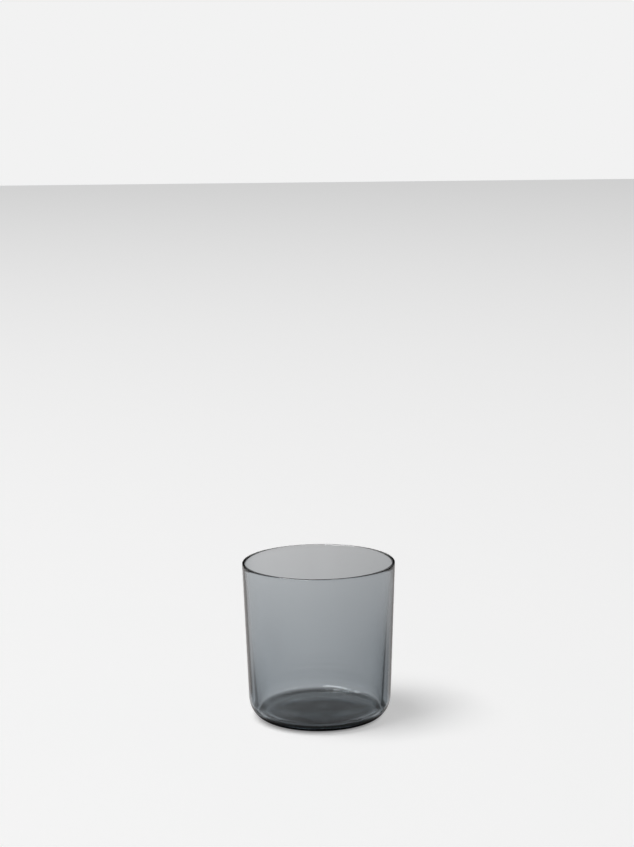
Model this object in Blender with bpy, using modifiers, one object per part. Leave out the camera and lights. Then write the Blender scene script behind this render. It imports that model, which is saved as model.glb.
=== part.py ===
"""A smoked-glass whiskey tumbler: one continuous piece of mouth-blown glass.

Units are metres, +Z is up, and the origin is the centre of the foot on the table.
The glass is a single turned body. Its profile starts on the axis on the inner floor,
runs out and up the inside, over the rounded lip, and down the outside to the foot.
"""

import math

import bpy

NAME = "whiskey_tumbler"
NODE = "tumbler_glass"

# Outside
HEIGHT = 0.0832
RIM_RADIUS = 0.0400
HEEL_TOP_RADIUS = 0.0374  # where the straight wall meets the rounded heel
HEEL_HEIGHT = 0.0114
FOOT_RADIUS = 0.0278  # outer edge of the flat ring that touches the table
HOLLOW_RADIUS = 0.0224  # the shallow hollow under the base
HOLLOW_DEPTH = 0.0008

# Glass thickness
LIP_THICKNESS = 0.0015
FOOT_WALL_THICKNESS = 0.0043  # side wall, at the bottom of the taper
THICKENING_BOTTOM = 0.0080  # the wall thickens evenly from the rim down to here
FLOOR_HEIGHT = 0.0026  # middle of the inner floor above the table
FLOOR_DISH = 0.0005  # the inner floor rises by this much from its middle to its edge
FLOOR_CORNER_WIDTH = 0.0050
FLOOR_CORNER_HEIGHT = 0.0032

# Facets
STEPS = 72
WALL_POINTS = 9
HEEL_POINTS = 8
LIP_POINTS = 6
CORNER_POINTS = 6
FLOOR_POINTS = 4
HOLLOW_POINTS = 4


def outer_radius(z):
    """Radius of the outer wall, a straight taper from the heel up to the rim."""
    share = (z - HEEL_HEIGHT) / (HEIGHT - HEEL_HEIGHT)
    return HEEL_TOP_RADIUS + (RIM_RADIUS - HEEL_TOP_RADIUS) * share


def wall_thickness(z):
    """Thickness of the side wall, which grows evenly from the lip down to the inner floor."""
    share = (HEIGHT - z) / (HEIGHT - THICKENING_BOTTOM)
    return LIP_THICKNESS + (FOOT_WALL_THICKNESS - LIP_THICKNESS) * share


def inner_radius(z):
    return outer_radius(z) - wall_thickness(z)


def quarter(centre, radii, start, stop, count):
    """Points along an elliptical arc, angles in degrees, the first point left out."""
    points = []
    for i in range(1, count + 1):
        angle = math.radians(start + (stop - start) * i / count)
        x = centre[0] + radii[0] * math.cos(angle)
        z = centre[1] + radii[1] * math.sin(angle)
        points.append((x, z))
    return points


def tumbler_profile():
    """The half section of the glass as (radius, height) points."""
    corner_top = FLOOR_HEIGHT + FLOOR_DISH + FLOOR_CORNER_HEIGHT
    corner_x = inner_radius(corner_top) - FLOOR_CORNER_WIDTH
    lip_radius = LIP_THICKNESS / 2
    lip_z = HEIGHT - lip_radius

    points = []
    for i in range(FLOOR_POINTS + 1):
        share = i / FLOOR_POINTS
        points.append((corner_x * share, FLOOR_HEIGHT + FLOOR_DISH * share**2))
    points += quarter(
        (corner_x, corner_top),
        (FLOOR_CORNER_WIDTH, FLOOR_CORNER_HEIGHT),
        -90,
        0,
        CORNER_POINTS,
    )
    for i in range(1, WALL_POINTS + 1):
        z = corner_top + (lip_z - corner_top) * i / WALL_POINTS
        points.append((inner_radius(z), z))
    lip_centre = (outer_radius(lip_z) - lip_radius, lip_z)
    points += quarter(lip_centre, (lip_radius, lip_radius), 180, 0, LIP_POINTS)
    for i in range(1, WALL_POINTS + 1):
        z = lip_z + (HEEL_HEIGHT - lip_z) * i / WALL_POINTS
        points.append((outer_radius(z), z))
    points += quarter(
        (FOOT_RADIUS, HEEL_HEIGHT),
        (HEEL_TOP_RADIUS - FOOT_RADIUS, HEEL_HEIGHT),
        0,
        -90,
        HEEL_POINTS,
    )
    for i in range(HOLLOW_POINTS + 1):
        radius = HOLLOW_RADIUS * (1 - i / HOLLOW_POINTS)
        points.append((radius, HOLLOW_DEPTH * (1 - (radius / HOLLOW_RADIUS) ** 2)))
    return points


def smoked_glass():
    """Clear glass with a light blue-grey smoke tint."""
    material = bpy.data.materials.new("smoked_glass")
    material.use_nodes = True
    shader = material.node_tree.nodes["Principled BSDF"]
    shader.inputs["Base Color"].default_value = (0.52, 0.56, 0.59, 1.0)
    shader.inputs["Roughness"].default_value = 0.02
    shader.inputs["Metallic"].default_value = 0.0
    shader.inputs["IOR"].default_value = 1.5
    shader.inputs["Transmission Weight"].default_value = 1.0
    return material


def turned_body(name, profile, material, collection):
    """A closed body of revolution from a half section, made with a Screw modifier."""
    mesh = bpy.data.meshes.new(name)
    edges = [(i, i + 1) for i in range(len(profile) - 1)]
    mesh.from_pydata([(x, 0.0, z) for x, z in profile], edges, [])
    mesh.materials.append(material)
    body = bpy.data.objects.new(name, mesh)
    collection.objects.link(body)
    screw = body.modifiers.new("Turn", "SCREW")
    screw.axis = "Z"
    screw.angle = 2 * math.pi
    screw.steps = STEPS
    screw.render_steps = STEPS
    screw.use_merge_vertices = True
    screw.merge_threshold = 0.000001
    screw.use_smooth_shade = True
    return body


def main():
    for thing in list(bpy.data.objects):
        bpy.data.objects.remove(thing)
    collection = bpy.data.collections.new(NAME)
    bpy.context.scene.collection.children.link(collection)
    turned_body(NODE, tumbler_profile(), smoked_glass(), collection)


main()
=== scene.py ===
"""Looks for the smoked-glass whiskey tumbler: fine turned glass, studio floor, light and camera.

Units are metres, +Z is up. The glass is one closed body of revolution on the same section as
the CAD node, with many more facets and the slight unevenness of mouth-blown glass inside it.
"""

import math

import bpy
from mathutils import Matrix, Vector, noise


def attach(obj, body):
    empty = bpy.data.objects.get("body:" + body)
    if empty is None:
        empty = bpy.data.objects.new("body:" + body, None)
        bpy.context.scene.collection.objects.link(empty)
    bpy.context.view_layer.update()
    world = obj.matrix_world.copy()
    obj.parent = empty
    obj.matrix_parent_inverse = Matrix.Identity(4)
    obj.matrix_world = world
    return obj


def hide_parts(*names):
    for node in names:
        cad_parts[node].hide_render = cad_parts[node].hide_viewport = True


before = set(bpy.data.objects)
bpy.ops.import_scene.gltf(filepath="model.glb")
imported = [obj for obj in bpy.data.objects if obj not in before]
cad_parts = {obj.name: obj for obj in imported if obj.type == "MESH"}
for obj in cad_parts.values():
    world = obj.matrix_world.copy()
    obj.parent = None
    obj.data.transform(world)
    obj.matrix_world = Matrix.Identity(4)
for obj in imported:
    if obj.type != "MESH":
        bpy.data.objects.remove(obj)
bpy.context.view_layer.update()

# ---------------------------------------------------------------- the glass's section

HEIGHT = 0.0832
RIM_RADIUS = 0.0400
HEEL_TOP_RADIUS = 0.0374
HEEL_HEIGHT = 0.0114
FOOT_RADIUS = 0.0278
HOLLOW_RADIUS = 0.0224
HOLLOW_DEPTH = 0.0008
LIP_THICKNESS = 0.0015
FOOT_WALL_THICKNESS = 0.0043
THICKENING_BOTTOM = 0.0080
FLOOR_HEIGHT = 0.0026
FLOOR_DISH = 0.0005
FLOOR_CORNER_WIDTH = 0.0050
FLOOR_CORNER_HEIGHT = 0.0032

SEGMENTS = 288
WALL_POINTS = 48
HEEL_POINTS = 26
LIP_POINTS = 12
CORNER_POINTS = 22
FLOOR_POINTS = 18
HOLLOW_POINTS = 16

OUTSIDE, INSIDE = 0, 1


def outer_radius(z):
    share = (z - HEEL_HEIGHT) / (HEIGHT - HEEL_HEIGHT)
    return HEEL_TOP_RADIUS + (RIM_RADIUS - HEEL_TOP_RADIUS) * share


def wall_thickness(z):
    share = (HEIGHT - z) / (HEIGHT - THICKENING_BOTTOM)
    return LIP_THICKNESS + (FOOT_WALL_THICKNESS - LIP_THICKNESS) * share


def inner_radius(z):
    return outer_radius(z) - wall_thickness(z)


def arc(centre, radii, start, stop, count, side):
    """Points (radius, height, side) along an elliptical arc, the first point left out."""
    points = []
    for i in range(1, count + 1):
        angle = math.radians(start + (stop - start) * i / count)
        x = centre[0] + radii[0] * math.cos(angle)
        z = centre[1] + radii[1] * math.sin(angle)
        points.append((x, z, side))
    return points


def glass_section():
    """Half section as (radius, height, side), from the inner floor's middle to the hollow's."""
    corner_top = FLOOR_HEIGHT + FLOOR_DISH + FLOOR_CORNER_HEIGHT
    corner_x = inner_radius(corner_top) - FLOOR_CORNER_WIDTH
    lip = LIP_THICKNESS / 2
    lip_z = HEIGHT - lip

    points = []
    for i in range(FLOOR_POINTS + 1):
        share = i / FLOOR_POINTS
        points.append((corner_x * share, FLOOR_HEIGHT + FLOOR_DISH * share**2, INSIDE))
    radii = (FLOOR_CORNER_WIDTH, FLOOR_CORNER_HEIGHT)
    points += arc((corner_x, corner_top), radii, -90, 0, CORNER_POINTS, INSIDE)
    for i in range(1, WALL_POINTS + 1):
        z = corner_top + (lip_z - corner_top) * i / WALL_POINTS
        points.append((inner_radius(z), z, INSIDE))
    points += arc((outer_radius(lip_z) - lip, lip_z), (lip, lip), 180, 0, LIP_POINTS, OUTSIDE)
    for i in range(1, WALL_POINTS + 1):
        z = lip_z + (HEEL_HEIGHT - lip_z) * i / WALL_POINTS
        points.append((outer_radius(z), z, OUTSIDE))
    radii = (HEEL_TOP_RADIUS - FOOT_RADIUS, HEEL_HEIGHT)
    points += arc((FOOT_RADIUS, HEEL_HEIGHT), radii, 0, -90, HEEL_POINTS, OUTSIDE)
    for i in range(HOLLOW_POINTS + 1):
        radius = HOLLOW_RADIUS * (1 - i / HOLLOW_POINTS)
        height = HOLLOW_DEPTH * (1 - (radius / HOLLOW_RADIUS) ** 2)
        points.append((radius, height, OUTSIDE))
    return points


# ---------------------------------------------------------------- the glass's mesh

AXIS_RADIUS = 1e-7  # closer to the axis than this, a ring is one point on it

WAVE_DEPTH = 0.00016  # broad waves round the inner wall
RIPPLE_DEPTH = 0.00007  # finer vertical ripples on top of them
LEVELLING = 0.012  # height over which wall and floor unevenness take turns
SPOT_DEPTH = 0.00026  # soft hills on the inner floor
SPOT_SCALE = 60.0
SPOT_FREE_RADIUS = 0.004  # the hills fade out towards the axis
RING_DEPTH = 0.00006  # tool rings on the inner floor
RING_SPACING = 0.0045
RING_WANDER = 0.0008
RING_RADIUS = 0.021
RING_REACH = 0.007


def uneven(radius, z, angle, side):
    """Mouth-blown unevenness: faint vertical waves inside, and a slightly wavy inner floor."""
    if side == OUTSIDE:
        return radius, z
    x, y = math.cos(angle), math.sin(angle)
    on_wall = min(max((z - FLOOR_HEIGHT) / LEVELLING, 0.0), 1.0)
    off_lip = min(max((HEIGHT - z) / LEVELLING, 0.0), 1.0)
    wave = noise.noise(Vector((x * 1.6, y * 1.6, z * 14.0)))
    ripple = noise.noise(Vector((x * 4.0 + 7.0, y * 4.0, z * 6.0)))
    radius -= (WAVE_DEPTH * wave + RIPPLE_DEPTH * ripple) * off_lip * on_wall

    spot = noise.noise(Vector((radius * x * SPOT_SCALE, radius * y * SPOT_SCALE, 3.0)))
    ring = math.sin(2 * math.pi * (radius + RING_WANDER * wave) / RING_SPACING)
    near_ring = max(0.0, 1.0 - abs(radius - RING_RADIUS) / RING_REACH)
    hills = SPOT_DEPTH * spot * min(radius / SPOT_FREE_RADIUS, 1.0)
    z += (hills + RING_DEPTH * ring * near_ring) * (1.0 - on_wall)
    return radius, z


def turned_mesh(name, section):
    """A closed mesh: rings round the Z axis, closed to one point at each end on the axis."""
    verts, faces, rings = [], [], []
    for radius, z, side in section:
        start = len(verts)
        if radius < AXIS_RADIUS:
            verts.append((0.0, 0.0, z))
            rings.append([start] * SEGMENTS)
            continue
        for k in range(SEGMENTS):
            angle = 2 * math.pi * k / SEGMENTS
            r, h = uneven(radius, z, angle, side)
            verts.append((r * math.cos(angle), r * math.sin(angle), h))
        rings.append(range(start, start + SEGMENTS))
    for low, high in zip(rings[:-1], rings[1:]):
        for k in range(SEGMENTS):
            n = (k + 1) % SEGMENTS
            loop = [low[k], high[k], high[n], low[n]]
            faces.append([v for i, v in enumerate(loop) if v != loop[i - 1]])
    mesh = bpy.data.meshes.new(name)
    mesh.from_pydata(verts, [], faces)
    mesh.shade_smooth()
    mesh.update()
    return mesh


# ---------------------------------------------------------------- node helpers


def socket(node, name, value):
    node.inputs[name].default_value = value


def link(tree, out, into):
    tree.links.new(out, into)


def math_node(tree, operation, *values):
    """A Math node on the values, each a socket or a number; its output socket."""
    node = tree.nodes.new("ShaderNodeMath")
    node.operation = operation
    for i, value in enumerate(values):
        if isinstance(value, bpy.types.NodeSocket):
            link(tree, value, node.inputs[i])
        else:
            node.inputs[i].default_value = value
    return node.outputs[0]


def distance(tree, x, y):
    square_x = math_node(tree, "MULTIPLY", x, x)
    square_y = math_node(tree, "MULTIPLY", y, y)
    return math_node(tree, "SQRT", math_node(tree, "ADD", square_x, square_y))


def fade(tree, value, start, stop, at_start, at_stop):
    """Smooth change from at_start to at_stop as value goes from start to stop."""
    node = tree.nodes.new("ShaderNodeMapRange")
    node.interpolation_type = "SMOOTHSTEP"
    socket(node, "From Min", start)
    socket(node, "From Max", stop)
    socket(node, "To Min", at_start)
    socket(node, "To Max", at_stop)
    link(tree, value, node.inputs["Value"])
    return node.outputs["Result"]


def eye_or_glass(tree, for_eye, for_glass, output):
    """Show the camera one shader, and the rays that reach the stage through the glass another."""
    path = tree.nodes.new("ShaderNodeLightPath")
    choose = tree.nodes.new("ShaderNodeMixShader")
    link(tree, path.outputs["Is Camera Ray"], choose.inputs[0])
    link(tree, for_glass, choose.inputs[1])
    link(tree, for_eye, choose.inputs[2])
    link(tree, choose.outputs["Shader"], output.inputs["Surface"])


# ---------------------------------------------------------------- the glass's material

GLASS_IOR = 1.5
SURFACE_TINT = (0.946, 0.966, 0.981, 1.0)
MASS_TINT = (0.0, 0.13, 0.21, 1.0)
MASS_DENSITY = 80.0


def smoked_glass():
    """Blue-grey smoked glass, coloured in the mass, with faint waves and a little dust haze."""
    material = bpy.data.materials.new("smoked_glass_fine")
    material.use_nodes = True
    tree = material.node_tree
    glass = tree.nodes["Principled BSDF"]
    output = tree.nodes["Material Output"]
    socket(glass, "Base Color", SURFACE_TINT)
    socket(glass, "IOR", GLASS_IOR)
    socket(glass, "Transmission Weight", 1.0)

    coords = tree.nodes.new("ShaderNodeTexCoord")
    wave = tree.nodes.new("ShaderNodeTexNoise")
    socket(wave, "Scale", 26.0)
    socket(wave, "Detail", 1.0)
    stretch = tree.nodes.new("ShaderNodeMapping")
    socket(stretch, "Scale", (1.0, 1.0, 0.35))
    link(tree, coords.outputs["Object"], stretch.inputs["Vector"])
    link(tree, stretch.outputs["Vector"], wave.inputs["Vector"])
    bump = tree.nodes.new("ShaderNodeBump")
    socket(bump, "Strength", 0.25)
    socket(bump, "Distance", 0.0004)
    link(tree, wave.outputs["Fac"], bump.inputs["Height"])
    link(tree, bump.outputs["Normal"], glass.inputs["Normal"])

    haze = tree.nodes.new("ShaderNodeTexNoise")
    socket(haze, "Scale", 90.0)
    socket(haze, "Detail", 4.0)
    rough = tree.nodes.new("ShaderNodeMapRange")
    socket(rough, "From Min", 0.45)
    socket(rough, "From Max", 0.75)
    socket(rough, "To Min", 0.0)
    socket(rough, "To Max", 0.03)
    link(tree, coords.outputs["Object"], haze.inputs["Vector"])
    link(tree, haze.outputs["Fac"], rough.inputs["Value"])
    link(tree, rough.outputs["Result"], glass.inputs["Roughness"])

    mass = tree.nodes.new("ShaderNodeVolumeAbsorption")
    socket(mass, "Color", MASS_TINT)
    socket(mass, "Density", MASS_DENSITY)
    link(tree, mass.outputs["Volume"], output.inputs["Volume"])
    return material


glass_mesh = turned_mesh("tumbler_smoked_glass", glass_section())
glass_mesh.materials.append(smoked_glass())
glass = bpy.data.objects.new("tumbler_smoked_glass", glass_mesh)
bpy.context.scene.collection.objects.link(glass)
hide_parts("tumbler_glass")
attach(glass, "root")
glass.visible_diffuse = False  # the paper gets no bright caustics from the glass

# ---------------------------------------------------------------- the studio floor

FLOOR_SIZE = 8.0
FLOOR_DROP = 0.0001  # the paper lies this far under the foot
FLOOR_COLOUR = 0.87
FLOOR_FILL = 0.496  # soft fill light from all round, as the paper's own glow
FLOOR_SHADED_FOR_GLASS = (0.562, 0.547, 0.541, 1.0)  # painted shade: the paper as the glass sees it, a greyer glow

# Each fade: start and stop of a distance, then the level at each.
PAINTED_CONTACT_SHADE = (0.0285, 0.0340, 0.35, 1.0)  # painted contact shade: the fill glow is weak close to the foot
# Painted shade under the glass, on the paper as the glass sees it: dark under the hollow and the
# whole foot, darkest at the middle and round the foot ring.
SHADE_UNDER_HOLLOW = (0.008, 0.020, 0.0, 0.17)
SHADE_AT_FOOT_RING = (0.021, 0.027, 1.0, 0.10)
SHADE_UNDER_FOOT = (0.0315, 0.045, 0.0, 1.0)
OWN_SHADOW = (-0.08, 0.10, 1.12, 0.80)  # along X, darker away from the key light

# Painted shade: two dark sectors of the paper behind the glass, one at each side, which fade
# outwards.
# Each: reach at which it starts to fade and is gone, its depth, and the sector's inner edge.
LEFT_PAINTED_SHADE = (0.035, 0.13, 0.62, 30)
RIGHT_PAINTED_SHADE = (0.08, 0.21, 0.82, 33)
SHADE_SECTOR_CORNER = (0.0365, -0.0107)  # where the sectors' edges meet, on both sides of the glass
SHADE_SECTOR_EDGE_SOFTNESS = 8  # degrees
SHADE_SECTOR_OUTER_EDGE = (70, 130)  # degrees
SHADE_SECTOR_SIDE_SOFTNESS = 0.005


def painted_sector_shade(tree, x, out_x, out_y, sign, painted_sector):
    """Painted shade: what is left of the light on the paper, 1 outside the dark sector and less
    inside it.
    """
    near, far, depth, edge = painted_sector
    angle = math_node(tree, "ARCTAN2", out_x, out_y)
    inner = [math.radians(edge), math.radians(edge + SHADE_SECTOR_EDGE_SOFTNESS)]
    outer = [math.radians(degrees) for degrees in SHADE_SECTOR_OUTER_EDGE]
    sector = math_node(tree, "MULTIPLY", fade(tree, angle, *inner, 0, 1),
                       fade(tree, angle, *outer, 1, 0))
    reach = fade(tree, distance(tree, out_x, out_y), near, far, 1, 0)
    side = fade(tree, math_node(tree, "MULTIPLY", x, sign),
                -SHADE_SECTOR_SIDE_SOFTNESS, SHADE_SECTOR_SIDE_SOFTNESS, 0, depth)
    dark = math_node(tree, "MULTIPLY", math_node(tree, "MULTIPLY", sector, reach), side)
    return math_node(tree, "SUBTRACT", 1.0, dark)


def studio_paper():
    """Matt off-white paper. What the glass sees of it is a greyer glowing copy with painted shade
    and shadows.
    """
    material = bpy.data.materials.new("studio_paper")
    material.use_nodes = True
    tree = material.node_tree
    tree.nodes.remove(tree.nodes["Principled BSDF"])
    paper = tree.nodes.new("ShaderNodeBsdfDiffuse")
    socket(paper, "Color", (FLOOR_COLOUR, FLOOR_COLOUR, FLOOR_COLOUR, 1.0))
    fill = tree.nodes.new("ShaderNodeEmission")
    seen = tree.nodes.new("ShaderNodeAddShader")
    link(tree, paper.outputs["BSDF"], seen.inputs[0])
    link(tree, fill.outputs["Emission"], seen.inputs[1])

    geometry = tree.nodes.new("ShaderNodeNewGeometry")
    split = tree.nodes.new("ShaderNodeSeparateXYZ")
    link(tree, geometry.outputs["Position"], split.inputs["Vector"])
    x, y = split.outputs["X"], split.outputs["Y"]
    from_axis = distance(tree, x, y)
    painted_contact_shade = fade(tree, from_axis, *PAINTED_CONTACT_SHADE)
    link(tree, math_node(tree, "MULTIPLY", painted_contact_shade, FLOOR_FILL), fill.inputs["Strength"])

    hollow_shade = math_node(tree, "MULTIPLY", fade(tree, from_axis, *SHADE_UNDER_HOLLOW),
                       fade(tree, from_axis, *SHADE_AT_FOOT_RING))
    level = math_node(tree, "MAXIMUM", hollow_shade, fade(tree, from_axis, *SHADE_UNDER_FOOT))
    level = math_node(tree, "MULTIPLY", level, fade(tree, x, *OWN_SHADOW))
    out_x = math_node(tree, "SUBTRACT", math_node(tree, "ABSOLUTE", x), SHADE_SECTOR_CORNER[0])
    out_y = math_node(tree, "SUBTRACT", y, SHADE_SECTOR_CORNER[1])
    # painted shade: a dark sector of the paper at each side behind the glass
    for sign, painted_sector in ((-1, LEFT_PAINTED_SHADE), (1, RIGHT_PAINTED_SHADE)):
        shade = painted_sector_shade(tree, x, out_x, out_y, sign, painted_sector)
        level = math_node(tree, "MULTIPLY", level, shade)

    # the paper as the glass sees it: a greyer glow carrying the painted shade
    shaded_glow_for_glass = tree.nodes.new("ShaderNodeEmission")
    socket(shaded_glow_for_glass, "Color", FLOOR_SHADED_FOR_GLASS)
    link(tree, level, shaded_glow_for_glass.inputs["Strength"])
    eye_or_glass(tree, seen.outputs["Shader"], shaded_glow_for_glass.outputs["Emission"],
                 tree.nodes["Material Output"])
    return material


half = FLOOR_SIZE / 2
floor_mesh = bpy.data.meshes.new("studio_floor")
floor_mesh.from_pydata(
    [(-half, -half, 0), (half, -half, 0), (half, half, 0), (-half, half, 0)], [], [(0, 1, 2, 3)]
)
floor_mesh.materials.append(studio_paper())
floor = bpy.data.objects.new("studio_floor", floor_mesh)
floor.location = (0, 0, -FLOOR_DROP)
bpy.context.scene.collection.objects.link(floor)

# ---------------------------------------------------------------- light

BACKDROP = 0.888  # the even backdrop that the camera sees
HORIZON = (0.24, 0.47, 0.03, 1.00)  # the dome is dark low down
ZENITH = (0.55, 0.85, 1.0, 0.35)  # and dimmer again overhead
AIM = (0, 0, 0.04)

KEY_PLACE = (-1.58, -0.62, 4.70)
KEY_SIZE = (2.5, 2.5)
KEY_POWER = 129.0

GLINT_PLACE = (-0.54, -0.40, 1.20)
GLINT_SIZE = (0.90, 0.85)
GLINT_POWER = 20.0
GLINT_TURN = 26.0  # degrees about its own axis


def studio_world():
    """An even backdrop for the camera, and a dome with a dark horizon for the glass."""
    world = bpy.data.worlds.new("studio")
    world.use_nodes = True
    tree = world.node_tree
    dome = tree.nodes["Background"]
    socket(dome, "Color", (1, 1, 1, 1))
    coords = tree.nodes.new("ShaderNodeTexCoord")
    split = tree.nodes.new("ShaderNodeSeparateXYZ")
    link(tree, coords.outputs["Generated"], split.inputs["Vector"])
    up = split.outputs["Z"]
    strength = math_node(tree, "MULTIPLY", fade(tree, up, *HORIZON), fade(tree, up, *ZENITH))
    link(tree, strength, dome.inputs["Strength"])
    backdrop = tree.nodes.new("ShaderNodeBackground")
    socket(backdrop, "Color", (1, 1, 1, 1))
    socket(backdrop, "Strength", BACKDROP)
    eye_or_glass(tree, backdrop.outputs["Background"], dome.outputs["Background"],
                 tree.nodes["World Output"])
    bpy.context.scene.world = world
    world.cycles_visibility.diffuse = False


def softbox(name, place, size, power, turn=0.0):
    """A rectangular area light aimed at the glass, turned about its own axis by turn degrees."""
    light = bpy.data.lights.new(name, "AREA")
    light.energy = power
    light.shape = "RECTANGLE"
    light.size, light.size_y = size
    lamp = bpy.data.objects.new(name, light)
    lamp.location = place
    facing = (Vector(place) - Vector(AIM)).to_track_quat("Z", "Y").to_matrix()
    lamp.rotation_euler = (facing @ Matrix.Rotation(math.radians(turn), 3, "Z")).to_euler()
    bpy.context.scene.collection.objects.link(lamp)
    return lamp


studio_world()
key = softbox("key_softbox", KEY_PLACE, KEY_SIZE, KEY_POWER)
key.visible_glossy = False
key.visible_transmission = False
glint = softbox("glint_softbox", GLINT_PLACE, GLINT_SIZE, GLINT_POWER, GLINT_TURN)
glint.visible_transmission = False
glint.visible_diffuse = False

# ---------------------------------------------------------------- camera

CAMERA_PLACE = (0.0, -1.15662, 0.36173)
CAMERA_DOWN = 10.0733  # degrees below level
CAMERA_ROLL = -0.0108  # radians
CAMERA_LENS = 96.58
CAMERA_SENSOR = 36
CAMERA_REACH = 20.0

camera_data = bpy.data.cameras.new("camera")
camera_data.sensor_width = CAMERA_SENSOR
camera_data.lens = CAMERA_LENS
camera_data.clip_end = CAMERA_REACH
camera = bpy.data.objects.new("camera", camera_data)
bpy.context.scene.collection.objects.link(camera)
camera.matrix_world = (
    Matrix.Translation(CAMERA_PLACE)
    @ Matrix.Rotation(math.radians(90 - CAMERA_DOWN), 4, "X")
    @ Matrix.Rotation(CAMERA_ROLL, 4, "Z")
)
bpy.context.scene.camera = camera
bpy.context.scene.view_settings.view_transform = "Standard"
